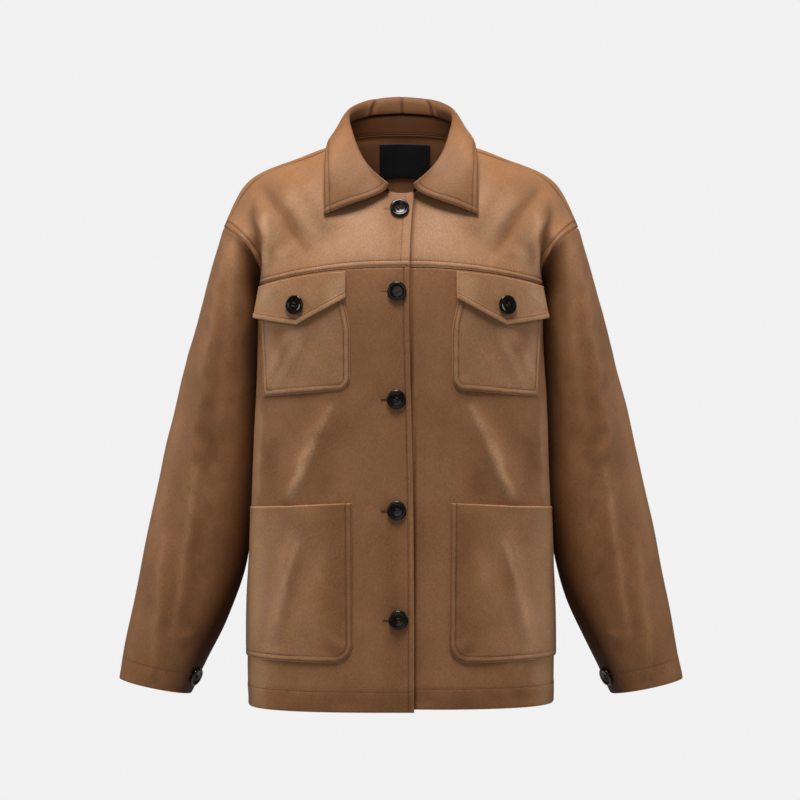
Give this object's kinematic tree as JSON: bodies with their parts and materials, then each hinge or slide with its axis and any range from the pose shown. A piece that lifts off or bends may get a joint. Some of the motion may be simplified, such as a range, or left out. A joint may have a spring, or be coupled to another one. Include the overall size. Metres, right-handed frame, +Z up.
{
  "type": "suede jacket",
  "caption": "Button-front suede overshirt jacket with drop shoulders, pointed collar, buttoned chest flaps, open hip pockets and open cuffs.",
  "frame": {"origin": "middle of the neck opening at the height of the shoulders, where the wearer holds the jacket up", "axes": "+Z up; the front faces -Y; the wearer's left is +X"},
  "size_m": [0.6876, 0.2461, 0.7477],
  "materials": {
    "suede": "brown suede, matt, short nap",
    "horn": "polished dark horn",
    "label_weave": "black woven label, bare"
  },
  "bodies": {
    "root": {"back": "suede", "front_right": "suede", "front_left": "suede", "yoke_right": "suede", "yoke_left": "suede", "sleeve_right": "suede", "sleeve_left": "suede", "collar_stand": "suede", "collar_fall": "suede", "chest_pocket_right": "suede", "chest_pocket_left": "suede", "flap_right": "suede", "flap_left": "suede", "hip_pocket_right": "suede", "hip_pocket_left": "suede", "neck_label": "label_weave", "button_front_1": "horn", "button_front_2": "horn", "button_front_3": "horn", "button_front_4": "horn", "button_front_5": "horn", "button_flap_right": "horn", "button_flap_left": "horn", "button_cuff_right": "horn", "button_cuff_left": "horn"}
  },
  "joints": []
}
